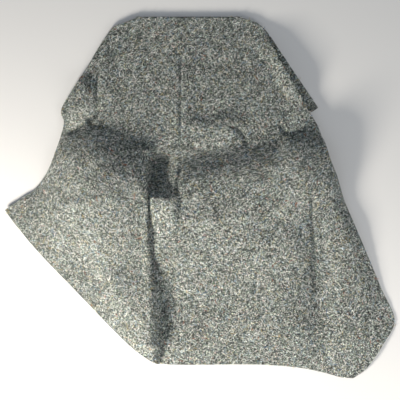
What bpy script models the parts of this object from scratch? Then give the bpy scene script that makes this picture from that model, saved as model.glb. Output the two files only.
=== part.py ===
"""Moving blanket of grey felt, lying loosely on a level surface with its folds as they fell.

One cut cloth, 3 mm thick, with no binding, quilting or lining. It is modelled as a single closed sheet:
the front hem is towards -Y, and at +Y the cloth turns over its top fold and runs back underneath.
Units are metres, +Z is up, and the origin is on the surface, below the middle of the lying blanket.
"""
import math
from collections import namedtuple

import bmesh
import bpy
import numpy as np

MM = 0.001
THICKNESS = 3.0 * MM
FOLD_STEP = 8.0 * MM
PLEAT_MIN_LENGTH = 3.0 * MM
PLEAT_CLOSING_LENGTH = 12.0 * MM
PLEAT_FADE = 100.0 * MM
PLEAT_MARGIN = 15.0 * MM
PLEAT_OVERHANG = 10.0 * MM
REAR_HEM_BOW = 38.0 * MM
REAR_HEM_CORNER_POWER = 16
RIGHT_BOW_END = 0.93
RIGHT_BOW_SCALE = 27 / 4

ROW_SPACING = 33.0 * MM
LEFT_COLUMNS = 12
ARC_STEPS = 4
PLEAT_COLUMNS = 4
COVERED_COLUMNS = 4
RIGHT_COLUMNS = 18
TUCK_COLUMNS = 8
REAR_ROWS = 10
FINE_STEPS = 40
MERGE_DISTANCE = 0.00002
DEGENERATE_DISTANCE = 0.00001

FELT_COLOUR = (0.27, 0.275, 0.25, 1.0)
FELT_ROUGHNESS = 0.95

# A section runs across the blanket, from its left end over the pleat's edge to its right end.
# Places are in millimetres. left_bow and right_bow bend its two parts, the left one towards the front
# and the right one towards the back. pleat is how far the cloth runs back under the pleat's edge, tuck
# how much of the left side is turned under, and lift is 1 where a folded layer lies underneath.
Section = namedtuple(
    "Section", "left_x left_y edge_x edge_y right_x right_y left_bow right_bow pleat tuck lift")
SECTIONS = (
    Section(-745, -44, -163, -633, 587, -688, 36, 28, 0, 0, 0.0),
    Section(-730, -32, -167, -587, 640, -646, 34, 23, 0, 0, 0.0),
    Section(-703, -15, -173, -519, 699, -560, 28, 13, 20, 0, 0.0),
    Section(-673, 6, -179, -431, 745, -466, 20, 5, 60, 0, 0.0),
    Section(-640, 27, -184, -336, 695, -348, 13, 0, 102, 0, 0.0),
    Section(-612, 59, -190, -238, 650, -241, 7, 0, 142, 0, 0.0),
    Section(-585, 97, -198, -131, 602, -131, 3, 0, 182, 0, 0.0),
    Section(-562, 146, -201, -21, 555, -21, 0, 0, 180, 0, 0.0),
    Section(-543, 200, -203, 70, 517, 78, 0, 0, 110, 0, 0.0),
    Section(-532, 238, -201, 139, 486, 146, 0, 0, 30, 0, 0.1),
    Section(-522, 272, -198, 207, 467, 215, 0, 0, 0, 0, 0.45),
    Section(-519, 302, -190, 276, 450, 270, 0, 0, 0, 0, 0.9),
    Section(-524, 342, -182, 344, 407, 342, 0, 0, 0, 60, 1.0),
    Section(-483, 412, -163, 416, 365, 416, 0, 0, 0, 115, 1.0),
    Section(-429, 498, -141, 496, 319, 496, 0, 0, 0, 130, 1.0),
    Section(-380, 580, -114, 580, 274, 578, 0, 0, 0, 90, 1.0),
    Section(-338, 640, -87, 640, 243, 640, 0, 0, 0, 35, 1.0),
    Section(-304, 665, -72, 671, 217, 671, 0, 0, 0, 0, 1.0),
    Section(-243, 690, -49, 690, 160, 690, 0, 0, 0, 0, 1.0),
)

# Ends of the layer that runs back underneath from the top fold, down to the blanket's rear hem.
RearSection = namedtuple("RearSection", "left_x left_y right_x right_y")
REAR_SECTIONS = (
    RearSection(-243, 690, 160, 690),
    RearSection(-255, 663, 239, 657),
    RearSection(-270, 572, 304, 568),
    RearSection(-281, 484, 361, 483),
    RearSection(-289, 405, 414, 405),
    RearSection(-296, 329, 452, 348),
)

# A swell is a long soft mound, or a hollow where its height is negative. turn is the direction of its
# length in degrees. before and past are its reach along that direction, left and right its reach to
# the sides, and arch bends its ends to the right. On its left side a foot of 2 runs out softly, one of 1
# ends at a steep edge and one of 0 is rounded. lean carries the crest over that side.
Swell = namedtuple("Swell", "name x y turn before past left right arch height foot lean")
SWELLS = (
    Swell("front", 95, 64, 11, 395, 490, 138, 450, 0, 48, 2, 0),
    Swell("front, far", 95, 44, 12, 740, 620, 650, 440, 0, 33, 2, 0),
    Swell("front right", 350, -340, -88, 250, 330, 116, 280, 0, 23, 2, 0),
    Swell("recess", -142, 78, 90, 70, 104, 61, 60, 0, -40, 1, 0),
    Swell("left side", -395, 100, -16, 190, 212, 172, 420, 0, 64, 0, 0),
    Swell("left panel", -248, -70, -88, 190, 280, 62, 200, 0, 11, 1, 0),
    Swell("left edge", -196, -480, -88, 240, 215, 88, 330, 0, 37, 2, 0),
    Swell("seat corner", -138, -18, 0, 66, 66, 32, 120, 0, 24, 1, 0),
    Swell("pleat valley", -124, -520, 94, 210, 160, 50, 56, 0, -28, 1, 0),
    Swell("right side", 426, 139, -14, 150, 160, 100, 220, 30, 35, 1, 8),
    Swell("right hem", 596, -90, -69, 330, 430, 70, 66, 0, -10, 2, 0),
    Swell("right ridge", 560, -300, -90, 330, 400, 210, 96, 0, 28, 2, 0),
    Swell("back edge", 334, 477, -61, 215, 150, 54, 64, 0, 24, 2, 0),
    Swell("seat", 66, 262, 10, 122, 122, 76, 84, 0, 15, 2, 0),
    Swell("top left", -388, 458, 68, 170, 160, 30, 40, 0, 22, 2, 0),
    Swell("left lobe", -458, 352, 80, 100, 130, 50, 56, 0, 26, 2, 0),
    Swell("middle", -72, 355, 90, 270, 230, 76, 76, 0, 6, 2, 0),
    Swell("left corner", -730, -40, 0, 152, 152, 110, 110, 0, 8, 2, 0),
)


def column_of(rows, name):
    """One column of a table as an array of metres, or of plain numbers for lift."""
    scale = 1.0 if name == "lift" else MM
    return np.array([getattr(row, name) for row in rows], float) * scale


def smooth_through(values, at):
    """Catmull-Rom curve through evenly numbered values, read at the row numbers in at."""
    last = len(values) - 1
    index = np.clip(np.floor(at).astype(int), 0, last - 1)
    t = at - index
    before, start = values[np.maximum(index - 1, 0)], values[index]
    end, after = values[index + 1], values[np.minimum(index + 2, last)]
    rise_in, rise_out = (end - before) / 2, (after - start) / 2
    return (
        (2 * t**3 - 3 * t**2 + 1) * start
        + (t**3 - 2 * t**2 + t) * rise_in
        + (3 * t**2 - 2 * t**3) * end
        + (t**3 - t**2) * rise_out
    )


def smoothstep(t):
    """Smooth ramp from 0 to 1."""
    t = np.clip(t, 0.0, 1.0)
    return t * t * (3 - 2 * t)


def relief(x, y):
    """Height of the swells at a place, and how far their leaning crests carry it in X and Y."""
    height = np.zeros_like(x)
    shift_x = np.zeros_like(x)
    shift_y = np.zeros_like(x)
    for swell in SWELLS:
        angle = math.radians(swell.turn)
        dx, dy = x - swell.x * MM, y - swell.y * MM
        along = dx * math.cos(angle) + dy * math.sin(angle)
        across = dy * math.cos(angle) - dx * math.sin(angle)
        length = np.where(along > 0, swell.past, swell.before) * MM
        across = across + swell.arch * MM * (along / length) ** 2
        width = np.where(across > 0, swell.left, swell.right) * MM
        a, b = along / length, across / width
        soft = np.clip(1 - b**2, 0, None) ** 2
        if swell.foot == 0:
            rounded = np.clip(1 - a**2 - b**2, 0, None)
            mound = np.where(b > 0, rounded, np.clip(1 - a**2, 0, None) * soft)
        else:
            side = np.clip(1 - b**4, 0, None) if swell.foot == 1 else soft
            mound = np.clip(1 - a**4, 0, None) ** 2 * np.where(b > 0, side, soft)
        height += mound * swell.height * MM
        shift_x -= mound * swell.lean * MM * math.sin(angle)
        shift_y += mound * swell.lean * MM * math.cos(angle)
    return np.maximum(height, 0), shift_x, shift_y


def even_stations(x, y, spacing):
    """Row numbers that step evenly along the curve through the given table points."""
    fine = np.linspace(0, len(x) - 1, FINE_STEPS * (len(x) - 1) + 1)
    fine_x, fine_y = smooth_through(x, fine), smooth_through(y, fine)
    travelled = np.concatenate([[0], np.cumsum(np.hypot(np.diff(fine_x), np.diff(fine_y)))])
    steps = max(1, round(travelled[-1] / spacing))
    return np.interp(np.linspace(0, travelled[-1], steps + 1), travelled, fine)


def pleat_profile(pleat):
    """Steps back and down of one section's pleat: over its edge, back underneath, and out again."""
    turn = math.pi * float(smoothstep(pleat / PLEAT_CLOSING_LENGTH))
    chord = FOLD_STEP / sum(math.sin(math.pi * (k + 0.5) / ARC_STEPS) for k in range(ARC_STEPS))
    under = max(pleat, PLEAT_MIN_LENGTH) / PLEAT_COLUMNS
    angles = [turn * (k + 0.5) / ARC_STEPS for k in range(ARC_STEPS)]
    angles += [turn] * PLEAT_COLUMNS
    angles += [turn * (1 - (k + 0.5) / ARC_STEPS) for k in range(ARC_STEPS)]
    lengths = [chord] * ARC_STEPS + [under] * PLEAT_COLUMNS + [chord] * ARC_STEPS
    steps = [(length * math.cos(a), length * math.sin(a)) for length, a in zip(lengths, angles)]
    across = np.concatenate([[0], np.cumsum([s[0] for s in steps])])
    down = np.concatenate([[0], np.cumsum([s[1] for s in steps])])
    return across, down


def left_bend(part):
    """Share of the left bow at a part of the way along it: 1 but for its ends, where it is nothing."""
    return 1 - (2 * part - 1) ** 4


def right_bend(part):
    """Share of the right bow at a part of the way along it: most at two thirds, nothing at its ends."""
    part = np.minimum(part / RIGHT_BOW_END, 1)
    return RIGHT_BOW_SCALE * part**2 * (1 - part)


def section_points(section, pleat_edge):
    """Points of one row of the sheet's middle surface, from its left end to its right end."""
    across, down = pleat_profile(section["pleat"])
    drop = down[-1]
    part = np.linspace(0, 1, LEFT_COLUMNS + 1)
    left_x = section["left_x"] + (section["edge_x"] - section["left_x"]) * part
    left_y = section["left_y"] + (section["edge_y"] - section["left_y"]) * part
    left_y = left_y - section["left_bow"] * left_bend(part)
    raised = pleat_edge.raised(left_x, left_y)
    raised[-1] = drop
    pleat_x = section["edge_x"] + across[1:]
    pleat_y = np.full(len(across) - 1, section["edge_y"])
    uncovered_x = section["edge_x"] + max(0.0, across[-1]) + PLEAT_OVERHANG
    covered_x = np.linspace(pleat_x[-1], uncovered_x, COVERED_COLUMNS + 1)[1:]
    part = np.linspace(0, 1, RIGHT_COLUMNS + 1)[1:]
    right_x = np.concatenate([covered_x, uncovered_x + (section["right_x"] - uncovered_x) * part])
    part = np.clip((right_x - section["edge_x"]) / (section["right_x"] - section["edge_x"]), 0, 1)
    right_y = section["edge_y"] + (section["right_y"] - section["edge_y"]) * part
    right_y = right_y + section["right_bow"] * right_bend(part)
    x = np.concatenate([left_x, pleat_x, right_x])
    y = np.concatenate([left_y, pleat_y, right_y])
    z = np.concatenate([raised, drop - down[1:], np.zeros(len(right_x))])
    height, shift_x, shift_y = relief(x, y)
    z = THICKNESS / 2 + FOLD_STEP * section["lift"] + z + height
    return np.stack([x + shift_x, y + shift_y, z], axis=1)


class PleatEdge:
    """How high the upper layer lies near the pleat, by its place on the surface."""

    def __init__(self, table):
        """Keeps the pleat's edge, depth and step down by their distance from the front."""
        profiles = [pleat_profile(pleat) for pleat in table["pleat"]]
        self.y = table["edge_y"]
        self.x = table["edge_x"]
        self.hidden = np.array([max(0.0, -across[-1]) for across, down in profiles])
        self.drop = np.array([down[-1] for across, down in profiles])

    def raised(self, x, y):
        """Height that the folded layers beneath give the upper layer at these places."""
        hidden_from = np.interp(y, self.y, self.x - self.hidden)
        drop = np.interp(y, self.y, self.drop)
        return drop * smoothstep(1 - (hidden_from - PLEAT_MARGIN - x) / PLEAT_FADE)


def main_rows():
    """Rows of the upper layers, from the front hem to the top fold."""
    at = even_stations(column_of(SECTIONS, "edge_x"), column_of(SECTIONS, "edge_y"), ROW_SPACING)
    table = {name: smooth_through(column_of(SECTIONS, name), at) for name in Section._fields}
    table["pleat"] = np.maximum(table["pleat"], 0)
    table["tuck"] = np.maximum(table["tuck"], 0)
    table["lift"] = np.clip(table["lift"], 0, 1)
    pleat_edge = PleatEdge(table)
    rows = []
    for i in range(len(at)):
        rows.append(section_points({name: table[name][i] for name in table}, pleat_edge))
    return rows, table["tuck"]


def top_fold_rows(top_row):
    """Rows around the half turn of the top fold, which bulges towards +Y."""
    radius = FOLD_STEP / 2
    rows = []
    for k in range(1, ARC_STEPS):
        angle = math.pi * k / ARC_STEPS
        row = top_row.copy()
        row[:, 1] += radius * math.sin(angle)
        row[:, 2] -= radius * (1 - math.cos(angle))
        rows.append(row)
    return rows


def rear_rows(top_row):
    """Rows of the layer underneath, flat on the surface, from the top fold to the rear hem."""
    share = (top_row[:, 0] - top_row[0, 0]) / (top_row[-1, 0] - top_row[0, 0])
    at = np.linspace(0, len(REAR_SECTIONS) - 1, REAR_ROWS + 1)
    table = {name: smooth_through(column_of(REAR_SECTIONS, name), at) for name in RearSection._fields}
    rows = []
    for i in range(len(at)):
        x = table["left_x"][i] + (table["right_x"][i] - table["left_x"][i]) * share
        y = table["left_y"][i] + (table["right_y"][i] - table["left_y"][i]) * share
        y = y - REAR_HEM_BOW * (i / REAR_ROWS) ** 2 * (1 - share**REAR_HEM_CORNER_POWER)
        rows.append(np.stack([x, y, np.full(len(x), THICKNESS / 2)], axis=1))
    rows[0][:, 0] = top_row[:, 0]
    rows[0][:, 1] = top_row[:, 1]
    return rows


def tuck_rows(left_ends, tucks):
    """Rows of the left side that is turned under, from the side's fold to its cut edge."""
    radius = FOLD_STEP / 2
    along = np.gradient(left_ends[:, :2], axis=0)
    along /= np.linalg.norm(along, axis=1)[:, None]
    outward = np.stack([-along[:, 1], along[:, 0]], axis=1)
    rows = []
    for end, side, tuck in zip(left_ends, outward, tucks):
        run = np.linspace(0, tuck, TUCK_COLUMNS + 1)
        angle = np.minimum(run / radius, math.pi)
        out = radius * np.sin(angle) - np.maximum(run - math.pi * radius, 0)
        down = radius * (1 - np.cos(angle))
        rows.append(np.stack([end[0] + side[0] * out, end[1] + side[1] * out, end[2] - down], axis=1))
    return rows


def add_grid(mesh, rows):
    """Adds rows of points to the mesh as a sheet of quads facing up where the rows run front to back."""
    corners = [[mesh.verts.new(point) for point in row] for row in rows]
    for near, far in zip(corners, corners[1:]):
        for j in range(len(near) - 1):
            mesh.faces.new((near[j], near[j + 1], far[j + 1], far[j]))


def felt_material():
    """Grey felt: no gloss, the average colour of its mixed fibres."""
    material = bpy.data.materials.new("recycled_felt")
    material.use_nodes = True
    shader = material.node_tree.nodes["Principled BSDF"]
    shader.inputs["Base Color"].default_value = FELT_COLOUR
    shader.inputs["Roughness"].default_value = FELT_ROUGHNESS
    shader.inputs["Metallic"].default_value = 0.0
    return material


def make_blanket():
    """The whole blanket: upper layers, turned-under left side, top fold and the layer underneath."""
    rows, tucks = main_rows()
    top_row = rows[-1]
    mesh = bmesh.new()
    add_grid(mesh, rows + top_fold_rows(top_row) + rear_rows(top_row))
    left_ends = np.array([row[0] for row in rows])
    add_grid(mesh, [row[::-1] for row in tuck_rows(left_ends, tucks)])
    bmesh.ops.remove_doubles(mesh, verts=mesh.verts, dist=MERGE_DISTANCE)
    bmesh.ops.dissolve_degenerate(mesh, edges=mesh.edges, dist=DEGENERATE_DISTANCE)
    data = bpy.data.meshes.new("blanket")
    mesh.to_mesh(data)
    mesh.free()
    data.shade_smooth()
    blanket = bpy.data.objects.new("blanket", data)
    bpy.context.scene.collection.objects.link(blanket)
    blanket.data.materials.append(felt_material())
    wall = blanket.modifiers.new("Thickness", "SOLIDIFY")
    wall.thickness = THICKNESS
    wall.offset = 0.0
    return blanket


def main():
    """Clears the scene and builds the blanket."""
    for thing in list(bpy.data.objects):
        bpy.data.objects.remove(thing)
    make_blanket()


main()
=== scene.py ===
"""Looks of the moving blanket: its felt cloth with creases, its surface fibres, floor, light and camera."""
import logging
import math
from dataclasses import dataclass, field
from enum import Enum
from typing import Any, NamedTuple

import bmesh
import bpy
import numpy as np
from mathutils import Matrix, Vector, noise


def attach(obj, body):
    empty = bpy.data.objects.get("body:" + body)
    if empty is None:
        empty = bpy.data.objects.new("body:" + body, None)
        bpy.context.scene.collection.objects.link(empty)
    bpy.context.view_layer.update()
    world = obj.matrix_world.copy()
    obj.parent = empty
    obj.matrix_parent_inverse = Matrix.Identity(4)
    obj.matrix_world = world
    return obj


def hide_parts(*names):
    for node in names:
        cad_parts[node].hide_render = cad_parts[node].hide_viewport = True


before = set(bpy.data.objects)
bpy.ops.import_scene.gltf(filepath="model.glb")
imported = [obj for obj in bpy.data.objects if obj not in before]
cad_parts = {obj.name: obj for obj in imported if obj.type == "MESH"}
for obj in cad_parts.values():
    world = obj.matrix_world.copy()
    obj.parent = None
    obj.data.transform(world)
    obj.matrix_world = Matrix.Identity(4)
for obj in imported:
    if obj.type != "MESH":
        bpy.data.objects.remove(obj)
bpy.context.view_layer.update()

LOG = logging.getLogger("moving_blanket")
MM = 0.001
PIXEL = 3.8 * MM
IMAGE_SIDE = 400
# The image row on which Y is 0.
ORIGIN_ROW = 198.5
UV_NAME = "cloth"
SHOWN = "shown"
TONE = "tone"
# Brings the peak of t² (1 - t), a bow that is deepest at two thirds, to 1.
LATE_BOW_SCALE = 27 / 4


class Section(NamedTuple):
    """A row across the cloth in millimetres, from its left end over the pleat's edge to its right end."""

    left_x: float
    left_y: float
    edge_x: float
    edge_y: float
    right_x: float
    right_y: float
    left_bow: float
    right_bow: float
    pleat: float
    tuck: float
    lift: float


class RearSection(NamedTuple):
    """The two ends, in millimetres, of a row of the layer that is folded under."""

    left_x: float
    left_y: float
    right_x: float
    right_y: float


class Swell(NamedTuple):
    """A long soft mound in millimetres, or a hollow or groove where its height is negative.

    turn is the direction of its length in degrees, before and past its reach along it, left and right
    its reach to the sides. arch bends its ends to the right. foot is 2 for a soft left side, 1 for one
    that ends at a steep edge and 0 for a rounded one, and lean carries the crest over that side.
    """

    name: str
    x: float
    y: float
    turn: float
    before: float
    past: float
    left: float
    right: float
    arch: float
    height: float
    foot: int
    lean: float


SECTIONS = (
    Section(-745, -44, -163, -633, 587, -688, 36, 28, 0, 0, 0.0),
    Section(-730, -32, -167, -587, 640, -646, 34, 23, 0, 0, 0.0),
    Section(-703, -15, -173, -519, 699, -560, 28, 13, 20, 0, 0.0),
    Section(-673, 6, -179, -431, 745, -466, 20, 5, 60, 0, 0.0),
    Section(-640, 27, -184, -336, 695, -348, 13, 0, 102, 0, 0.0),
    Section(-612, 59, -190, -238, 650, -241, 7, 0, 142, 0, 0.0),
    Section(-585, 97, -198, -131, 602, -131, 3, 0, 182, 0, 0.0),
    Section(-562, 146, -201, -21, 555, -21, 0, 0, 180, 0, 0.0),
    Section(-543, 200, -203, 70, 517, 78, 0, 0, 110, 0, 0.0),
    Section(-532, 238, -201, 139, 486, 146, 0, 0, 30, 0, 0.1),
    Section(-522, 272, -198, 207, 467, 215, 0, 0, 0, 0, 0.45),
    Section(-519, 302, -190, 276, 450, 270, 0, 0, 0, 0, 0.9),
    Section(-524, 342, -182, 344, 407, 342, 0, 0, 0, 60, 1.0),
    Section(-483, 412, -163, 416, 365, 416, 0, 0, 0, 115, 1.0),
    Section(-429, 498, -141, 496, 319, 496, 0, 0, 0, 130, 1.0),
    Section(-380, 580, -114, 580, 274, 578, 0, 0, 0, 90, 1.0),
    Section(-338, 640, -87, 640, 243, 640, 0, 0, 0, 35, 1.0),
    Section(-304, 665, -72, 671, 217, 671, 0, 0, 0, 0, 1.0),
    Section(-243, 690, -49, 690, 160, 690, 0, 0, 0, 0, 1.0),
)

REAR_SECTIONS = (
    RearSection(-243, 690, 160, 690),
    RearSection(-255, 663, 239, 657),
    RearSection(-270, 572, 304, 568),
    RearSection(-281, 484, 361, 483),
    RearSection(-289, 405, 414, 405),
    RearSection(-296, 329, 452, 348),
)

# The main folds, which the solid has too.
SWELLS = (
    Swell("front", 95, 64, 11, 395, 490, 138, 450, 0, 48, 2, 0),
    Swell("front, far", 95, 44, 12, 740, 620, 650, 440, 0, 33, 2, 0),
    Swell("front right", 350, -340, -88, 250, 330, 116, 280, 0, 23, 2, 0),
    Swell("recess", -142, 78, 90, 70, 104, 61, 60, 0, -40, 1, 0),
    Swell("left side", -395, 100, -16, 190, 212, 172, 420, 0, 64, 0, 0),
    Swell("left panel", -248, -70, -88, 190, 280, 62, 200, 0, 11, 1, 0),
    Swell("left edge", -196, -480, -88, 240, 215, 88, 330, 0, 37, 2, 0),
    Swell("seat corner", -138, -18, 0, 66, 66, 32, 120, 0, 24, 1, 0),
    Swell("pleat valley", -124, -520, 94, 210, 160, 50, 56, 0, -28, 1, 0),
    Swell("right side", 426, 139, -14, 150, 160, 100, 220, 30, 35, 1, 8),
    Swell("right hem", 596, -90, -69, 330, 430, 70, 66, 0, -10, 2, 0),
    Swell("right ridge", 560, -300, -90, 330, 400, 210, 96, 0, 28, 2, 0),
    Swell("back edge", 334, 477, -61, 215, 150, 54, 64, 0, 24, 2, 0),
    Swell("seat", 66, 262, 10, 122, 122, 76, 84, 0, 15, 2, 0),
    Swell("top left", -388, 458, 68, 170, 160, 30, 40, 0, 22, 2, 0),
    Swell("left lobe", -458, 352, 80, 100, 130, 50, 56, 0, 26, 2, 0),
    Swell("middle", -72, 355, 90, 270, 230, 76, 76, 0, 6, 2, 0),
    Swell("left corner", -730, -40, 0, 152, 152, 110, 110, 0, 8, 2, 0),
)

# Creases and small folds that only the cloth itself shows.
CREASES = (
    Swell("centre crease", -73, 310, 90, 200, 280, 10, 10, 0, -6, 2, 0),
    Swell("centre crease, lower", -82, 66, 80, 70, 70, 11, 11, 0, -10, 2, 0),
    Swell("mound crease", -312, 247, -30, 104, 96, 9, 9, 17, -7, 2, 0),
    Swell("left gap", -444, 290, 41, 84, 96, 22, 22, 0, -14, 2, 0),
    Swell("left lengthwise crease", -392, 374, 90, 84, 100, 16, 16, 0, -10, 2, 0),
    Swell("top left crease", -360, 530, 66, 150, 110, 18, 18, 0, -13, 2, 0),
    Swell("notch crease", -424, 300, 122, 50, 50, 13, 13, 0, -6, 2, 0),
    Swell("right crease, upper", 318, 258, -48, 34, 60, 13, 13, 0, -9, 2, 0),
    Swell("right crease, lower", 400, 226, 0, 70, 70, 13, 13, 0, -9, 2, 0),
    Swell("right lengthwise crease", 430, -150, -87, 280, 300, 12, 12, 0, -8, 2, 0),
    Swell("seat crease", 158, 248, -52, 70, 80, 20, 20, 30, -8, 2, 0),
    Swell("pleat lip", -196, -210, -87, 240, 260, 5, 20, 0, 4, 2, 0),
    Swell("front wrinkle", 60, -75, 6, 160, 180, 26, 30, 0, 5, 2, 0),
    Swell("front wrinkle, lower", 210, -300, 68, 150, 130, 34, 34, 0, 5, 2, 0),
    Swell("left panel wrinkle", -450, -20, 8, 150, 170, 30, 34, 0, 5, 2, 0),
)


def column_of(rows: tuple, name: str) -> np.ndarray:
    """One column of a table as metres, or as plain numbers for lift."""
    scale = 1.0 if name == "lift" else MM
    return np.array([getattr(row, name) for row in rows], float) * scale


def smooth_through(values: np.ndarray, at: np.ndarray) -> np.ndarray:
    """Reads a Catmull-Rom curve through evenly numbered values.

    Args:
        values: the values at rows 0, 1, 2 and so on.
        at: the row numbers to read, whole or not.

    Returns:
        The curve's values there.
    """
    last = len(values) - 1
    index = np.clip(np.floor(at).astype(int), 0, last - 1)
    t = at - index
    before, start = values[np.maximum(index - 1, 0)], values[index]
    end, after = values[index + 1], values[np.minimum(index + 2, last)]
    return (
        (2 * t**3 - 3 * t**2 + 1) * start
        + (t**3 - 2 * t**2 + t) * (end - before) / 2
        + (3 * t**2 - 2 * t**3) * end
        + (t**3 - t**2) * (after - start) / 2
    )


def smoothstep(t: Any) -> Any:
    """Smooth ramp from 0 to 1."""
    t = np.clip(t, 0.0, 1.0)
    return t * t * (3 - 2 * t)


def linear_colour(code: str) -> tuple[float, float, float, float]:
    """Turns an sRGB hex colour into a linear one.

    Args:
        code: the colour, such as #A0A098.

    Returns:
        The linear red, green and blue, with alpha 1.
    """
    parts = [int(code[i : i + 2], 16) / 255 for i in (1, 3, 5)]
    linear = [c / 12.92 if c <= 0.04045 else ((c + 0.055) / 1.055) ** 2.4 for c in parts]
    return (*linear, 1.0)


def add_node(tree: bpy.types.NodeTree, kind: str, settings: dict | None = None, **inputs: Any) -> Any:
    """Adds a node, sets it up and links it.

    Args:
        tree: the node tree.
        kind: the node's type name.
        settings: properties of the node itself.
        **inputs: for each input, by its name with spaces as underscores or as in_ and its number, a
            socket to link from or a value.

    Returns:
        The node.
    """
    node = tree.nodes.new(kind)
    for name, value in (settings or {}).items():
        setattr(node, name, value)
    for name, value in inputs.items():
        key = int(name[3:]) if name.startswith("in_") else name.replace("_", " ")
        socket = node.inputs[key]
        if isinstance(value, bpy.types.NodeSocket):
            tree.links.new(value, socket)
        else:
            socket.default_value = value
    return node


def ramp(
    tree: bpy.types.NodeTree, value: Any, source: tuple[float, float], target: tuple[float, float]
) -> Any:
    """Maps a value smoothly from one range to another.

    Args:
        tree: the material's node tree.
        value: the socket to map.
        source: the ends of the range that it comes from.
        target: the ends of the range that it goes to.

    Returns:
        The socket of the mapped value.
    """
    return add_node(
        tree, "ShaderNodeMapRange", {"interpolation_type": "SMOOTHSTEP"}, Value=value,
        From_Min=source[0], From_Max=source[1], To_Min=target[0], To_Max=target[1]).outputs[0]


def mix_colours(tree: bpy.types.NodeTree, share: Any, under: Any, over: Any, way: str = "MIX") -> Any:
    """Mixes two colours by a share.

    Args:
        tree: the material's node tree.
        share: how much of the upper colour there is, a socket or a number.
        under: the lower colour.
        over: the upper colour.
        way: the name of the blend.

    Returns:
        The socket of the mixed colour.
    """
    return add_node(
        tree, "ShaderNodeMix", {"data_type": "RGBA", "blend_type": way}, Factor=share, in_6=under,
        in_7=over).outputs[2]


def set_stops(colours: bpy.types.ColorRamp, stops: tuple[tuple[float, str], ...]) -> None:
    """Gives a colour ramp its stops.

    Args:
        colours: the ramp.
        stops: for each stop, its place from 0 to 1 and its sRGB hex colour.
    """
    while len(colours.elements) < len(stops):
        colours.elements.new(1.0)
    for element, (place, code) in zip(colours.elements, stops):
        element.position = place
        element.color = linear_colour(code)


def link_object(name: str, mesh: bpy.types.Mesh) -> bpy.types.Object:
    """Makes an object of a mesh in the scene's own collection.

    Args:
        name: the object's name.
        mesh: its mesh.

    Returns:
        The object.
    """
    thing = bpy.data.objects.new(name, mesh)
    bpy.context.scene.collection.objects.link(thing)
    return thing


def plain_mesh(thing: bpy.types.Object, name: str) -> bpy.types.Mesh:
    """Makes a mesh of an object with its modifiers applied.

    Args:
        thing: the object.
        name: the new mesh's name.

    Returns:
        The mesh.
    """
    graph = bpy.context.evaluated_depsgraph_get()
    shown = thing.evaluated_get(graph)
    mesh = bpy.data.meshes.new_from_object(shown, preserve_all_data_layers=True, depsgraph=graph)
    mesh.name = name
    return mesh


def discard(thing: bpy.types.Object) -> None:
    """Removes a working object and its mesh."""
    mesh = thing.data
    bpy.data.objects.remove(thing)
    bpy.data.meshes.remove(mesh)


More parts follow.
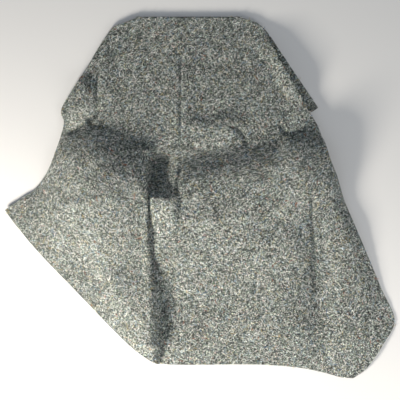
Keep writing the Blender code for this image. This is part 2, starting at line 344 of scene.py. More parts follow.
@dataclass(frozen=True)
class NeedledFelt:
    """Needle-punched felt of shredded textiles: dull, matted, mottled by fibres of every shade of grey.

    The eye sees a dark ground crossed by short light and dark strands in all directions, no gloss and a
    faint bloom at grazing angles. Real fibres are about 0.3 mm thick and lie in bundles of 1 to 3 mm,
    and it is the bundles that are drawn.
    """

    ground: str = "#52595A"
    tuft: str = "#676D6A"
    shades: tuple[tuple[float, str], ...] = (
        (0.00, "#23282A"),
        (0.14, "#484E4C"),
        (0.40, "#656B6B"),
        (0.62, "#888D88"),
        (0.80, "#BDC1B9"),
        (0.92, "#F6F8F0"),
        (1.00, "#FFFFFF"),
    )
    tints: tuple[tuple[float, str], ...] = (
        (0.00, "#D6E4FF"),
        (0.14, "#EAF2FF"),
        (0.30, "#E6FFEC"),
        (0.58, "#FFFFFF"),
        (0.76, "#FBFFE6"),
        (0.90, "#FFE8E6"),
        (1.00, "#FFD0D4"),
    )
    # Clouds as large as a hand, where the shredded fibres were laid a little lighter or darker.
    cloud_mm: float = 90.0
    cloud_range: tuple[float, float] = (0.3, 0.7)
    cloud_values: tuple[float, float] = (0.80, 1.02)
    cloud_seed: float = 21.0
    # Specks as large as the tip of a bundle.
    speck_mm: float = 3.0
    speck_values: tuple[float, float] = (0.20, 1.86)
    # Tufts where a bundle is matted.
    tuft_mm: float = 9.0
    tuft_range: tuple[float, float] = (0.36, 0.66)
    tuft_seed: float = 1.3
    grain_roughness: float = 0.6
    grain_seed_step: tuple[float, float] = (1.0, 0.7)
    # Strands, one layer for each length and each turned further than the one before.
    strand_lengths_mm: tuple[float, ...] = (9.0, 13.0, 7.0, 10.0, 6.0, 8.0)
    strand_width_mm: float = 1.5
    strand_share: float = 0.34
    strand_edge: tuple[float, float] = (0.30, 0.46)
    strand_turn: float = 7.0
    strand_seed: float = 2.3
    strand_seed_step: tuple[float, float] = (7.0, 3.0)
    waviness_mm: float = 4.0
    waviness_per_length: float = 1.1
    pile_mm: float = 1.2
    bump: float = 0.6
    roughness: float = 0.95
    specular: float = 0.15
    sheen: float = 0.1

    def grain(self, tree: bpy.types.NodeTree, place: Any, size_mm: float, detail: float, seed: float) -> Any:
        """Adds a noise whose features are size_mm across.

        Args:
            tree: the material's node tree.
            place: the socket of the places on the cloth, in metres.
            size_mm: the size of the features.
            detail: how many finer layers the noise has.
            seed: the part of the noise that is read.

        Returns:
            The noise node.
        """
        along, across = self.grain_seed_step
        shift = add_node(
            tree, "ShaderNodeVectorMath", {"operation": "ADD"}, in_0=place,
            in_1=(seed * along, seed * across, 0.0))
        return add_node(
            tree, "ShaderNodeTexNoise", {"noise_dimensions": "2D"}, Vector=shift.outputs[0],
            Scale=1 / (size_mm * MM), Detail=detail, Roughness=self.grain_roughness)

    def strands(
        self, tree: bpy.types.NodeTree, place: Any, turn: float, length_mm: float, seed: float
    ) -> tuple[Any, Any]:
        """Adds one layer of short strands: long thin cells, some of them filled.

        Args:
            tree: the material's node tree.
            place: the socket of the places on the cloth, in metres.
            turn: the direction of the strands in degrees.
            length_mm: their length.
            seed: the part of the patterns that is read.

        Returns:
            The sockets of where the strands are and of their shades.
        """
        bend = self.grain(tree, place, length_mm * self.waviness_per_length, 0.0, seed).outputs["Color"]
        bend = add_node(
            tree, "ShaderNodeVectorMath", {"operation": "MULTIPLY_ADD"}, in_0=bend,
            in_1=(self.waviness_mm * MM,) * 3, in_2=place)
        turned = add_node(
            tree, "ShaderNodeVectorRotate", {"rotation_type": "Z_AXIS"}, Vector=bend.outputs[0],
            Angle=math.radians(turn))
        size = (1 / (length_mm * MM), 1 / (self.strand_width_mm * MM), 1.0)
        along, across = self.strand_seed_step
        long_cells = add_node(
            tree, "ShaderNodeVectorMath", {"operation": "MULTIPLY_ADD"}, in_0=turned.outputs[0],
            in_1=size, in_2=(seed * along, seed * across, 0.0))
        cell = add_node(
            tree, "ShaderNodeTexVoronoi", {"voronoi_dimensions": "2D"}, Vector=long_cells.outputs[0],
            Scale=1.0)
        chance = add_node(tree, "ShaderNodeSeparateColor", Color=cell.outputs["Color"])
        inside = ramp(tree, cell.outputs["Distance"], self.strand_edge, (1.0, 0.0))
        filled = add_node(
            tree, "ShaderNodeMath", {"operation": "LESS_THAN"}, in_0=chance.outputs[0],
            in_1=self.strand_share)
        share = add_node(
            tree, "ShaderNodeMath", {"operation": "MULTIPLY"}, in_0=inside, in_1=filled.outputs[0])
        shade = add_node(tree, "ShaderNodeValToRGB", Fac=chance.outputs[1])
        set_stops(shade.color_ramp, self.shades)
        tint = add_node(tree, "ShaderNodeValToRGB", Fac=chance.outputs[2])
        set_stops(tint.color_ramp, self.tints)
        tinted = mix_colours(tree, 1.0, shade.outputs["Color"], tint.outputs["Color"], "MULTIPLY")
        return share.outputs[0], tinted

    def mottling(self, tree: bpy.types.NodeTree, place: Any) -> Any:
        """Adds the clouds and specks that make the felt lighter and darker.

        Args:
            tree: the material's node tree.
            place: the socket of the places on the cloth, in metres.

        Returns:
            The socket of the value to multiply the colour's by.
        """
        cloud = self.grain(tree, place, self.cloud_mm, 2.0, self.cloud_seed).outputs["Fac"]
        cells = add_node(
            tree, "ShaderNodeTexVoronoi", {"voronoi_dimensions": "2D"}, Vector=place,
            Scale=1 / (self.speck_mm * MM))
        chance = add_node(tree, "ShaderNodeSeparateColor", Color=cells.outputs["Color"]).outputs[0]
        return add_node(
            tree, "ShaderNodeMath", {"operation": "MULTIPLY"},
            in_0=ramp(tree, cloud, self.cloud_range, self.cloud_values),
            in_1=ramp(tree, chance, (0.0, 1.0), self.speck_values)).outputs[0]

    def material(self) -> bpy.types.Material:
        """Builds the material, its patterns read from the cloth's own UV map in metres.

        Returns:
            The material.
        """
        material = bpy.data.materials.new("needled_felt")
        material.use_nodes = True
        tree = material.node_tree
        shader = tree.nodes["Principled BSDF"]
        place = add_node(tree, "ShaderNodeUVMap", {"uv_map": UV_NAME}).outputs["UV"]
        tufts = self.grain(tree, place, self.tuft_mm, 3.0, self.tuft_seed).outputs["Fac"]
        tufts = ramp(tree, tufts, self.tuft_range, (0.0, 1.0))
        colour = mix_colours(tree, tufts, linear_colour(self.ground), linear_colour(self.tuft))
        height = tufts
        for number, length_mm in enumerate(self.strand_lengths_mm):
            turn = (180.0 / len(self.strand_lengths_mm) + self.strand_turn) * number
            share, shade = self.strands(tree, place, turn, length_mm, self.strand_seed + number)
            colour = mix_colours(tree, share, colour, shade)
            height = add_node(
                tree, "ShaderNodeMath", {"operation": "MAXIMUM"}, in_0=height, in_1=share).outputs[0]
        colour = add_node(
            tree, "ShaderNodeHueSaturation", Value=self.mottling(tree, place), Color=colour)
        raised = add_node(
            tree, "ShaderNodeBump", Strength=self.bump, Distance=self.pile_mm * MM, Height=height)
        tree.links.new(colour.outputs["Color"], shader.inputs["Base Color"])
        tree.links.new(raised.outputs["Normal"], shader.inputs["Normal"])
        shader.inputs["Roughness"].default_value = self.roughness
        shader.inputs["Specular IOR Level"].default_value = self.specular
        shader.inputs["Sheen Weight"].default_value = self.sheen
        return material


@dataclass(frozen=True)
class LooseFibre:
    """Loose ends of wool, cotton and synthetic yarn of many colours, matt, with a soft edge to the light."""

    shades: tuple[tuple[float, str], ...] = (
        (0.00, "#2A2F31"),
        (0.10, "#6A706F"),
        (0.22, "#A6ABA8"),
        (0.40, "#D8DCD6"),
        (0.60, "#FFFFFA"),
        (0.88, "#A9C4D6"),
        (0.930, "#C9BC92"),
        (0.974, "#B5623F"),
        (0.981, "#C8B066"),
        (0.987, "#5578A4"),
        (0.995, "#7C9A78"),
    )
    roughness: float = 0.85
    specular: float = 0.2

    def material(self) -> bpy.types.Material:
        """Builds the material, which takes each fibre's shade from the piece's own tone attribute.

        Returns:
            The material.
        """
        material = bpy.data.materials.new("loose_fibre")
        material.use_nodes = True
        tree = material.node_tree
        shader = tree.nodes["Principled BSDF"]
        tone = add_node(tree, "ShaderNodeAttribute", {"attribute_name": TONE})
        shades = add_node(tree, "ShaderNodeValToRGB", Fac=tone.outputs["Fac"])
        shades.color_ramp.interpolation = "CONSTANT"
        set_stops(shades.color_ramp, self.shades)
        tree.links.new(shades.outputs["Color"], shader.inputs["Base Color"])
        shader.inputs["Roughness"].default_value = self.roughness
        shader.inputs["Specular IOR Level"].default_value = self.specular
        return material


@dataclass
class FeltCloth:
    """The cloth as it lies: one sheet with its pleat, folded top, tucked side, swells and creases."""

    thickness: float = 3.0 * MM
    fold_step: float = 8.0 * MM
    pleat_least: float = 3.0 * MM
    pleat_closing: float = 12.0 * MM
    pleat_fade: float = 100.0 * MM
    pleat_margin: float = 15.0 * MM
    pleat_overhang: float = 10.0 * MM
    rear_bow: float = 38.0 * MM
    rear_corner_power: int = 16
    row_spacing: float = 6.9 * MM
    left_columns: int = 56
    arc_steps: int = 6
    pleat_columns: int = 8
    covered_columns: int = 8
    right_columns: int = 112
    right_crowding: float = 1.2
    right_bow_reach: float = 0.93
    tuck_columns: int = 16
    rear_rows: int = 20
    rear_shown_from: float = 0.75
    fine_steps: int = 40
    unevenness: float = 1.6 * MM
    unevenness_size: float = 75.0 * MM
    # How fast the finer waves of the unevenness grow weaker and smaller, and how many there are.
    unevenness_waves: tuple[float, float, int] = (0.8, 2.0, 3)
    weld: float = 0.02 * MM
    least_edge: float = 0.01 * MM
    sharp_degrees: float = 50.0
    tables: dict = field(default_factory=dict)

    def relief(self, x: np.ndarray, y: np.ndarray) -> tuple[np.ndarray, np.ndarray, np.ndarray]:
        """Works out the swells, creases and small unevenness at places on the surface.

        Args:
            x: places in X.
            y: places in Y.

        Returns:
            The height there, and how far leaning crests carry it in X and in Y.
        """
        height, shift_x, shift_y = (np.zeros_like(x) for _ in range(3))
        for swell in SWELLS + CREASES:
            angle = math.radians(swell.turn)
            dx, dy = x - swell.x * MM, y - swell.y * MM
            along = dx * math.cos(angle) + dy * math.sin(angle)
            across = dy * math.cos(angle) - dx * math.sin(angle)
            length = np.where(along > 0, swell.past, swell.before) * MM
            across = across + swell.arch * MM * (along / length) ** 2
            width = np.where(across > 0, swell.left, swell.right) * MM
            a, b = along / length, across / width
            soft = np.clip(1 - b**2, 0, None) ** 2
            if swell.foot == 0:
                rounded = np.clip(1 - a**2 - b**2, 0, None)
                mound = np.where(b > 0, rounded, np.clip(1 - a**2, 0, None) * soft)
            else:
                side = np.clip(1 - b**4, 0, None) if swell.foot == 1 else soft
                mound = np.clip(1 - a**4, 0, None) ** 2 * np.where(b > 0, side, soft)
            height += mound * swell.height * MM
            shift_x -= mound * swell.lean * MM * math.sin(angle)
            shift_y += mound * swell.lean * MM * math.cos(angle)
        size = self.unevenness_size
        places = [Vector((px / size, py / size, 0.0)) for px, py in zip(x, y)]
        waves = np.array([noise.fractal(place, *self.unevenness_waves) for place in places])
        return np.maximum(height + self.unevenness * waves, 0), shift_x, shift_y

    def stations(self) -> np.ndarray:
        """Steps evenly along the pleat's edge, from the hem to the top fold.

        Returns:
            The section numbers there, whole or not.
        """
        fine = np.linspace(0, len(SECTIONS) - 1, self.fine_steps * (len(SECTIONS) - 1) + 1)
        x = smooth_through(column_of(SECTIONS, "edge_x"), fine)
        y = smooth_through(column_of(SECTIONS, "edge_y"), fine)
        travelled = np.concatenate([[0], np.cumsum(np.hypot(np.diff(x), np.diff(y)))])
        steps = round(travelled[-1] / self.row_spacing)
        return np.interp(np.linspace(0, travelled[-1], steps + 1), travelled, fine)

    def pleat_profile(self, pleat: float) -> tuple[np.ndarray, np.ndarray]:
        """Follows one section's pleat over its edge, back underneath and out again.

        Args:
            pleat: how far the cloth runs back underneath, in metres.

        Returns:
            The steps across and down, summed from the edge.
        """
        turn = math.pi * float(smoothstep(pleat / self.pleat_closing))
        bend = sum(math.sin(math.pi * (k + 0.5) / self.arc_steps) for k in range(self.arc_steps))
        chord = self.fold_step / bend
        under = max(pleat, self.pleat_least) / self.pleat_columns
        angles = [turn * (k + 0.5) / self.arc_steps for k in range(self.arc_steps)]
        angles += [turn] * self.pleat_columns
        angles += [turn * (1 - (k + 0.5) / self.arc_steps) for k in range(self.arc_steps)]
        lengths = [chord] * self.arc_steps + [under] * self.pleat_columns + [chord] * self.arc_steps
        across = np.concatenate([[0], np.cumsum([n * math.cos(a) for n, a in zip(lengths, angles)])])
        down = np.concatenate([[0], np.cumsum([n * math.sin(a) for n, a in zip(lengths, angles)])])
        return across, down

    def raised(self, x: np.ndarray, y: np.ndarray) -> np.ndarray:
        """Works out the height that the folded layers beneath give the upper layer near the pleat.

        Args:
            x: places in X.
            y: places in Y.

        Returns:
            The height there.
        """
        hidden_from = np.interp(y, self.tables["edge_y"], self.tables["edge_x"] - self.tables["hidden"])
        drop = np.interp(y, self.tables["edge_y"], self.tables["drop"])
        return drop * smoothstep(1 - (hidden_from - self.pleat_margin - x) / self.pleat_fade)

    def section_row(self, section: dict) -> np.ndarray:
        """Lays out one row of the sheet's middle surface.

        Args:
            section: one section's columns in metres.

        Returns:
            The row's points from left to right, with a last column that is 1 where the cloth shows.
        """
        across, down = self.pleat_profile(section["pleat"])
        part = np.linspace(0, 1, self.left_columns + 1)
        left_x = section["left_x"] + (section["edge_x"] - section["left_x"]) * part
        left_y = section["left_y"] + (section["edge_y"] - section["left_y"]) * part
        left_y = left_y - section["left_bow"] * (1 - (2 * part - 1) ** 4)
        raised = self.raised(left_x, left_y)
        raised[-1] = down[-1]
        pleat_x = section["edge_x"] + across[1:]
        pleat_y = np.full(len(across) - 1, section["edge_y"])
        open_x = section["edge_x"] + max(0.0, across[-1]) + self.pleat_overhang
        covered_x = np.linspace(pleat_x[-1], open_x, self.covered_columns + 1)[1:]
        part = np.linspace(0, 1, self.right_columns + 1)[1:] ** self.right_crowding
        right_x = np.concatenate([covered_x, open_x + (section["right_x"] - open_x) * part])
        part = np.clip((right_x - section["edge_x"]) / (section["right_x"] - section["edge_x"]), 0, 1)
        bend = np.minimum(part / self.right_bow_reach, 1)
        right_y = section["edge_y"] + (section["right_y"] - section["edge_y"]) * part
        right_y = right_y + section["right_bow"] * LATE_BOW_SCALE * bend**2 * (1 - bend)
        x = np.concatenate([left_x, pleat_x, right_x])
        y = np.concatenate([left_y, pleat_y, right_y])
        z = np.concatenate([raised, down[-1] - down[1:], np.zeros(len(right_x))])
        covered = section["pleat"] > self.pleat_closing
        shown = np.ones(len(x))
        if covered:
            shown[len(left_x) + self.arc_steps : len(left_x) + len(pleat_x) + self.covered_columns // 2] = 0
        height, shift_x, shift_y = self.relief(x, y)
        z = self.thickness / 2 + self.fold_step * section["lift"] + z + height
        return np.stack([x + shift_x, y + shift_y, z, shown], axis=1)

    def main_rows(self) -> tuple[list[np.ndarray], np.ndarray]:
        """Lays out the upper layers from the front hem to the top fold.

        Returns:
            The rows, and how much of the left side is tucked under at each.
        """
        at = self.stations()
        table = {name: smooth_through(column_of(SECTIONS, name), at) for name in Section._fields}
        table["pleat"] = np.maximum(table["pleat"], 0)
        table["tuck"] = np.maximum(table["tuck"], 0)
        table["lift"] = np.clip(table["lift"], 0, 1)
        profiles = [self.pleat_profile(pleat) for pleat in table["pleat"]]
        self.tables = dict(table)
        self.tables["hidden"] = np.array([max(0.0, -across[-1]) for across, _ in profiles])
        self.tables["drop"] = np.array([down[-1] for _, down in profiles])
        rows = [self.section_row({name: table[name][i] for name in table}) for i in range(len(at))]
        return rows, table["tuck"]

    def top_fold_rows(self, top_row: np.ndarray) -> list[np.ndarray]:
        """Lays out the rows around the half turn of the top fold.

        Args:
            top_row: the last row of the upper layer.

        Returns:
            The rows, from above to below.
        """
        radius = self.fold_step / 2
        rows = []
        for k in range(1, self.arc_steps):
            angle = math.pi * k / self.arc_steps
            rows.append(top_row + np.array([0, radius * math.sin(angle), -radius * (1 - math.cos(angle)), 0]))
        return rows

    def rear_layer_rows(self, top_row: np.ndarray) -> list[np.ndarray]:
        """Lays out the layer underneath, flat on the surface.

        Args:
            top_row: the last row of the upper layer.

        Returns:
            The rows, from the top fold to the rear hem.
        """
        share = (top_row[:, 0] - top_row[0, 0]) / (top_row[-1, 0] - top_row[0, 0])
        at = np.linspace(0, len(REAR_SECTIONS) - 1, self.rear_rows + 1)
        table = {name: smooth_through(column_of(REAR_SECTIONS, name), at) for name in RearSection._fields}
        rows = []
        for i in range(len(at)):
            x = table["left_x"][i] + (table["right_x"][i] - table["left_x"][i]) * share
            y = table["left_y"][i] + (table["right_y"][i] - table["left_y"][i]) * share
            y = y - self.rear_bow * (i / self.rear_rows) ** 2 * (1 - share**self.rear_corner_power)
            flat = np.full(len(x), self.thickness / 2)
            shown = (share > self.rear_shown_from).astype(float)
            rows.append(np.stack([x, y, flat, shown], axis=1))
        rows[0][:, :2] = top_row[:, :2]
        return rows

    def tuck_rows(self, left_ends: np.ndarray, tucks: np.ndarray) -> list[np.ndarray]:
        """Lays out the left side that is turned under.

        Args:
            left_ends: the left end of each row of the upper layer.
            tucks: how much of the side is turned under at each.

        Returns:
            For each row, its points from the side's fold to its cut edge.
        """
        radius = self.fold_step / 2
        along = np.gradient(left_ends[:, :2], axis=0)
        along /= np.linalg.norm(along, axis=1)[:, None]
        outward = np.stack([-along[:, 1], along[:, 0]], axis=1)
        rows = []
        for end, side, tuck in zip(left_ends, outward, tucks):
            run = np.linspace(0, tuck, self.tuck_columns + 1)
            angle = np.minimum(run / radius, math.pi)
            out = radius * np.sin(angle) - np.maximum(run - math.pi * radius, 0)
            down = radius * (1 - np.cos(angle))
            shown = (run < 2 * radius).astype(float)
            points = [end[0] + side[0] * out, end[1] + side[1] * out, end[2] - down, shown]
            rows.append(np.stack(points, axis=1))
        return rows

    def add_grid(self, mesh: bmesh.types.BMesh, grid: list[np.ndarray], ends_at_fold: bool) -> None:
        """Adds a grid of faces, with its UV map in metres of flat cloth.

        Args:
            mesh: the mesh that gets the faces.
            grid: rows of points, whose last value is 1 where the cloth shows.
            ends_at_fold: whether the rows end at the left side's fold and don't start there.
        """
        uv = mesh.loops.layers.uv[UV_NAME]
        shown = mesh.verts.layers.float[SHOWN]
        corners, places = [], []
        travelled = 0.0
        for i, row in enumerate(grid):
            if i:
                steps = np.linalg.norm(row[:, :3] - grid[i - 1][:, :3], axis=1)
                travelled += float(np.median(steps))
            run = np.concatenate([[0], np.cumsum(np.linalg.norm(np.diff(row[:, :3], axis=0), axis=1))])
            if ends_at_fold:
                run = run - run[-1]
            verts = [mesh.verts.new(point[:3]) for point in row]
            for vert, point in zip(verts, row):
                vert[shown] = point[3]
            corners.append(verts)
            places.append([(u, travelled) for u in run])
        for i in range(len(grid) - 1):
            for j in range(len(corners[i]) - 1):
                around = ((i, j), (i, j + 1), (i + 1, j + 1), (i + 1, j))
                face = mesh.faces.new([corners[a][b] for a, b in around])
                for loop, (a, b) in zip(face.loops, around):
                    loop[uv].uv = places[a][b]

    def middle_surface(self) -> bpy.types.Mesh:
        """Builds the sheet's middle surface out of its upper and rear layers and its tucked side.

        Returns:
            The mesh, still without thickness.
        """
        rows, tucks = self.main_rows()
        left_ends = np.array([row[0, :3] for row in rows])
        rows += self.top_fold_rows(rows[-1]) + self.rear_layer_rows(rows[-1])
        tuck_rows = [row[::-1] for row in self.tuck_rows(left_ends, tucks)]
        mesh = bmesh.new()
        mesh.loops.layers.uv.new(UV_NAME)
        mesh.verts.layers.float.new(SHOWN)
        self.add_grid(mesh, rows, ends_at_fold=False)
        self.add_grid(mesh, tuck_rows, ends_at_fold=True)
        bmesh.ops.remove_doubles(mesh, verts=mesh.verts, dist=self.weld)
        bmesh.ops.dissolve_degenerate(mesh, edges=mesh.edges, dist=self.least_edge)
        data = bpy.data.meshes.new("middle_surface")
        mesh.to_mesh(data)
        mesh.free()
        return data

    def build(self, felt: bpy.types.Material) -> bpy.types.Object:
        """Builds the closed sheet with its full thickness.

        Args:
            felt: the material for both faces and the cut edge.

        Returns:
            The finished piece, which stands for the solid.
        """
        working = link_object("working_sheet", self.middle_surface())
        wall = working.modifiers.new("Thickness", "SOLIDIFY")
        wall.thickness = self.thickness
        wall.offset = 0.0
        mesh = plain_mesh(working, "felt_sheet")
        discard(working)
        mesh.shade_smooth()
        mesh.set_sharp_from_angle(angle=math.radians(self.sharp_degrees))
        mesh.materials.clear()
        mesh.materials.append(felt)
        return link_object("felt_sheet", mesh)


# The inputs of a fibre cover's node tree.
FIBRE_INPUTS = (
    ("Geometry", "NodeSocketGeometry"),
    ("Density", "NodeSocketFloat"),
    ("Length", "NodeSocketFloat"),
    ("Radius", "NodeSocketFloat"),
    ("Wobble", "NodeSocketFloat"),
    ("Raise", "NodeSocketFloat"),
    ("Seed", "NodeSocketInt"),
    ("Finish", "NodeSocketMaterial"),
)


@dataclass(frozen=True)
class FibreCover:
    """Loose fibres that lie on the felt, curled, half sunk into it, scattered by a node tree."""

    name: str
    per_square_metre: float
    length_mm: float
    thickness_mm: float
    wobble: float
    raise_degrees: float
    seed: int
    sweeps: tuple[float, ...] = (10.0, 24.0, 40.0, 60.0, 90.0, 130.0)
    segments: int = 4
    sides: int = 3
    least_facing: float = 0.3
    kinks_per_metre: float = 160.0
    kink_seed_step: float = 3.7
    kink_rise: float = 0.12
    sizes: tuple[float, float] = (0.5, 1.25)
    flatness: float = 0.45

    def add_points(self, tree: bpy.types.NodeTree, given: Any) -> tuple[Any, Any]:
        """Scatters points on the faces that show and look upward, each with a tone of its own.

        Args:
            tree: the cover's node tree.
            given: the sockets of its inputs.

        Returns:
            The sockets of the points and of their rotation to the face.
        """
        shown = add_node(tree, "GeometryNodeInputNamedAttribute", {"data_type": "FLOAT"}, Name=SHOWN)
        density = add_node(
            tree, "ShaderNodeMath", {"operation": "MULTIPLY"}, in_0=given["Density"], in_1=shown.outputs[0])
        facing = add_node(
            tree, "ShaderNodeSeparateXYZ", Vector=add_node(tree, "GeometryNodeInputNormal").outputs["Normal"])
        upward = add_node(
            tree, "FunctionNodeCompare", {"data_type": "FLOAT", "operation": "GREATER_THAN"},
            in_0=facing.outputs["Z"], in_1=self.least_facing)
        scatter = add_node(
            tree, "GeometryNodeDistributePointsOnFaces", Mesh=given["Geometry"],
            Selection=upward.outputs[0], Density=density.outputs[0], Seed=given["Seed"])
        tone = add_node(
            tree, "FunctionNodeRandomValue", {"data_type": "FLOAT"}, Seed=given["Seed"], in_2=0.0, in_3=1.0)
        toned = add_node(
            tree, "GeometryNodeStoreNamedAttribute", {"data_type": "FLOAT", "domain": "POINT"},
            Geometry=scatter.outputs["Points"], Name=TONE, Value=tone.outputs[1])
        return toned.outputs[0], scatter.outputs["Rotation"]

    def add_curl(self, tree: bpy.types.NodeTree, given: Any, number: int) -> Any:
        """Makes one kind of fibre: an arc about its own middle, kinked by noise, with a thin round section.

        Args:
            tree: the cover's node tree.
            given: the sockets of its inputs.
            number: the place of its sweep in sweeps.

        Returns:
            The socket of the fibre as an instance.
        """
        angle = math.radians(self.sweeps[number])
        radius = add_node(
            tree, "ShaderNodeMath", {"operation": "DIVIDE"}, in_0=given["Length"], in_1=angle)
        arc = add_node(
            tree, "GeometryNodeCurveArc", Resolution=self.segments + 1, Radius=radius.outputs[0],
            Start_Angle=-angle / 2, Sweep_Angle=angle)
        back = add_node(
            tree, "ShaderNodeMath", {"operation": "MULTIPLY"}, in_0=radius.outputs[0], in_1=-1.0)
        centred = add_node(tree, "ShaderNodeCombineXYZ", X=back.outputs[0])
        kink = add_node(
            tree, "ShaderNodeTexNoise", {"noise_dimensions": "4D"}, W=number * self.kink_seed_step,
            Scale=self.kinks_per_metre, Detail=0.0)
        level = add_node(
            tree, "ShaderNodeVectorMath", {"operation": "SUBTRACT"}, in_0=kink.outputs["Color"],
            in_1=(0.5, 0.5, 0.5))
        flat = add_node(
            tree, "ShaderNodeVectorMath", {"operation": "MULTIPLY"}, in_0=level.outputs[0],
            in_1=(1.0, 1.0, self.kink_rise))
        reach = add_node(
            tree, "ShaderNodeMath", {"operation": "MULTIPLY"}, in_0=given["Length"], in_1=given["Wobble"])
        bent = add_node(
            tree, "ShaderNodeVectorMath", {"operation": "SCALE"}, in_0=flat.outputs[0],
            Scale=reach.outputs[0])
        offset = add_node(
            tree, "ShaderNodeVectorMath", {"operation": "ADD"}, in_0=bent.outputs[0],
            in_1=centred.outputs[0])
        moved = add_node(
            tree, "GeometryNodeSetPosition", Geometry=arc.outputs["Curve"], Offset=offset.outputs[0])
        section = add_node(
            tree, "GeometryNodeCurvePrimitiveCircle", Resolution=self.sides, Radius=given["Radius"])
        tube = add_node(
            tree, "GeometryNodeCurveToMesh", Curve=moved.outputs[0],
            Profile_Curve=section.outputs["Curve"], Fill_Caps=True)
        return add_node(tree, "GeometryNodeGeometryToInstance", Geometry=tube.outputs[0]).outputs[0]

    def add_placing(self, tree: bpy.types.NodeTree, given: Any, kinds: Any) -> Any:
        """Puts a fibre of a random kind, size and direction on each point.

        Args:
            tree: the cover's node tree.
            given: the sockets of its inputs.
            kinds: the socket of the kinds of fibre.

        Returns:
            The socket of the placed fibres.
        """
        points, rotation = self.add_points(tree, given)
        chosen = add_node(
            tree, "FunctionNodeRandomValue", {"data_type": "INT"}, Seed=given["Seed"], in_4=0,
            in_5=len(self.sweeps) - 1)
        least = add_node(tree, "ShaderNodeMath", {"operation": "MULTIPLY"}, in_0=given["Raise"], in_1=-1.0)
        low = add_node(tree, "ShaderNodeCombineXYZ", X=least.outputs[0], Y=least.outputs[0])
        high = add_node(tree, "ShaderNodeCombineXYZ", X=given["Raise"], Y=given["Raise"], Z=math.tau)
        spin = add_node(
            tree, "FunctionNodeRandomValue", {"data_type": "FLOAT_VECTOR"}, Seed=given["Seed"],
            in_0=low.outputs[0], in_1=high.outputs[0])
        turned = add_node(
            tree, "FunctionNodeRotateRotation", {"rotation_space": "LOCAL"}, Rotation=rotation,
            Rotate_By=spin.outputs[0])
        spread = add_node(
            tree, "FunctionNodeRandomValue", {"data_type": "FLOAT"}, Seed=given["Seed"],
            in_2=self.sizes[0], in_3=self.sizes[1])
        size = add_node(
            tree, "ShaderNodeVectorMath", {"operation": "SCALE"}, in_0=(1.0, 1.0, self.flatness),
            Scale=spread.outputs[1])
        return add_node(
            tree, "GeometryNodeInstanceOnPoints", Points=points, Instance=kinds, Pick_Instance=True,
            Instance_Index=chosen.outputs[2], Rotation=turned.outputs[0], Scale=size.outputs[0]).outputs[0]

    def tree(self) -> bpy.types.NodeTree:
        """Builds the node tree: kinds of fibre, placed on the faces, made real and given their finish.

        Returns:
            The node tree, with the inputs that FIBRE_INPUTS names.
        """
        tree = bpy.data.node_groups.new("fibre_cover", "GeometryNodeTree")
        for label, kind in FIBRE_INPUTS:
            tree.interface.new_socket(label, in_out="INPUT", socket_type=kind)
        tree.interface.new_socket("Geometry", in_out="OUTPUT", socket_type="NodeSocketGeometry")
        given = add_node(tree, "NodeGroupInput").outputs
        kinds = add_node(tree, "GeometryNodeJoinGeometry")
        for number in range(len(self.sweeps)):
            tree.links.new(self.add_curl(tree, given, number), kinds.inputs[0])
        placed = self.add_placing(tree, given, kinds.outputs[0])
        real = add_node(tree, "GeometryNodeRealizeInstances", Geometry=placed)
        dressed = add_node(
            tree, "GeometryNodeSetMaterial", Geometry=real.outputs[0], Material=given["Finish"])
        add_node(tree, "NodeGroupOutput", Geometry=dressed.outputs[0])
        return tree

    def build(self, host: bpy.types.Object, finish: bpy.types.Material) -> bpy.types.Object:
        """Scatters the fibres on a host's faces and makes them one plain mesh.

        Args:
            host: the object whose faces carry the fibres.
            finish: the fibres' material.

        Returns:
            The finished piece.
        """
        tree = self.tree()
        given = {
            "Density": self.per_square_metre,
            "Length": self.length_mm * MM,
            "Radius": self.thickness_mm * MM / 2,
            "Wobble": self.wobble,
            "Raise": math.radians(self.raise_degrees),
            "Seed": self.seed,
            "Finish": finish,
        }
        cover = host.modifiers.new("Fibres", "NODES")
        cover.node_group = tree
        for item in tree.interface.items_tree:
            if item.in_out == "INPUT" and item.name in given:
                cover[item.identifier] = given[item.name]
        mesh = plain_mesh(host, self.name)
        host.modifiers.remove(cover)
        return link_object(self.name, mesh)


class LightRole(Enum):
    """What a studio light is there for."""

    KEY = "key"
    FILL = "fill"


@dataclass(frozen=True)
class SoftLight:
    """A square soft light that points at a place on the floor."""

    role: LightRole
    place: tuple[float, float, float]
    aim: tuple[float, float, float]
    side: float
    power: float
    colour: str

    def build(self) -> bpy.types.Object:
        """Puts the light into the scene.

        Returns:
            The light.
        """
        lamp = bpy.data.lights.new(f"{self.role.value}_light", "AREA")
        lamp.size = self.side
        lamp.energy = self.power
        lamp.color = linear_colour(self.colour)[:3]
        light = bpy.data.objects.new(f"{self.role.value}_light", lamp)
        light.location = self.place
        towards = Vector(self.aim) - Vector(self.place)
        light.rotation_euler = towards.to_track_quat("-Z", "Y").to_euler()
        bpy.context.scene.collection.objects.link(light)
        return light


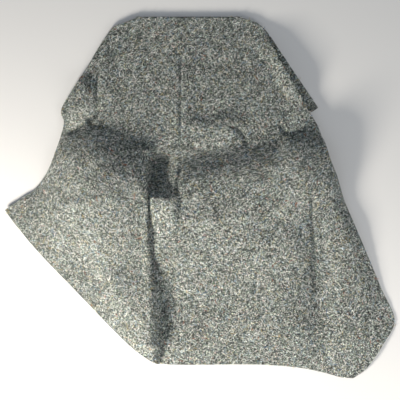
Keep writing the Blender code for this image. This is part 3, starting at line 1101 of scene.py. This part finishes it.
@dataclass(frozen=True)
class Studio:
    """Plain pale floor, soft light from the front left and a camera straight above the cloth."""

    floor_side: float = 14.0
    floor_gap: float = 0.4 * MM
    floor_colour: str = "#EFEFEF"
    world_colour: str = "#E9F0F8"
    world_strength: float = 0.33
    lens: float = 85.0
    sensor: float = 36.0
    focus_height: float = 0.03
    centre_y: float = (ORIGIN_ROW - IMAGE_SIDE / 2) * PIXEL
    lights: tuple[SoftLight, ...] = (
        SoftLight(LightRole.KEY, (-1.5, -1.62, 0.86), (0.0, -0.1, 0.0), 0.6, 100.0, "#FFF7EA"),
        SoftLight(LightRole.FILL, (1.6, -1.6, 1.1), (0.3, -0.3, 0.0), 1.2, 22.0, "#FFFBF4"),
    )

    def build_floor(self) -> bpy.types.Object:
        """Builds the matt floor, which is no part of the blanket.

        Returns:
            The floor.
        """
        material = bpy.data.materials.new("matt_floor")
        material.use_nodes = True
        shader = material.node_tree.nodes["Principled BSDF"]
        shader.inputs["Base Color"].default_value = linear_colour(self.floor_colour)
        shader.inputs["Roughness"].default_value = 1.0
        half = self.floor_side / 2
        corners = [(-half, -half, 0), (half, -half, 0), (half, half, 0), (-half, half, 0)]
        mesh = bpy.data.meshes.new("floor")
        mesh.from_pydata(corners, [], [(0, 1, 2, 3)])
        mesh.materials.append(material)
        floor = link_object("floor", mesh)
        floor.location.z = -self.floor_gap
        return floor

    def build_light(self) -> None:
        """Builds the soft lights and the even light all round."""
        for light in self.lights:
            light.build()
        world = bpy.data.worlds.new("studio")
        world.use_nodes = True
        background = world.node_tree.nodes["Background"]
        background.inputs["Color"].default_value = linear_colour(self.world_colour)
        background.inputs["Strength"].default_value = self.world_strength
        bpy.context.scene.world = world
        bpy.context.scene.view_settings.view_transform = "Standard"

    def build_camera(self) -> bpy.types.Object:
        """Builds the camera, so high that a pixel of the image is PIXEL wide on the cloth.

        Returns:
            The camera.
        """
        data = bpy.data.cameras.new("camera")
        data.lens = self.lens
        data.sensor_width = self.sensor
        camera = bpy.data.objects.new("camera", data)
        above = IMAGE_SIDE * PIXEL * self.lens / self.sensor
        camera.location = (0.0, self.centre_y, above + self.focus_height)
        bpy.context.scene.collection.objects.link(camera)
        bpy.context.scene.camera = camera
        return camera


# Name, fibres to a square metre, length and thickness in millimetres, wobble as a share of the length,
# raise in degrees, seed.
COVERS = (
    FibreCover("curled_fibres", 4750, 18.0, 1.3, 0.30, 4.0, 11),
    FibreCover("crossing_fibres", 4750, 14.0, 1.2, 0.25, 5.0, 37),
    FibreCover("short_fibres", 4750, 6.0, 1.6, 0.20, 7.0, 23),
    FibreCover("fine_fibres", 4750, 10.0, 1.2, 0.25, 6.0, 53),
)


def main() -> None:
    """Builds the studio, the cloth and its fibres, and says what each piece is to the frame."""
    studio = Studio()
    studio.build_floor()
    studio.build_light()
    studio.build_camera()
    sheet = FeltCloth().build(NeedledFelt().material())
    fibre = LooseFibre().material()
    covers = [cover.build(sheet, fibre) for cover in COVERS]
    for piece in [sheet, *covers]:
        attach(piece, "root")
        piece.data.calc_loop_triangles()
        LOG.info("%s: %d triangles", piece.name, len(piece.data.loop_triangles))
    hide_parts("blanket")


if __name__ == "__main__":
    logging.basicConfig(level=logging.INFO, format="%(message)s")
    main()
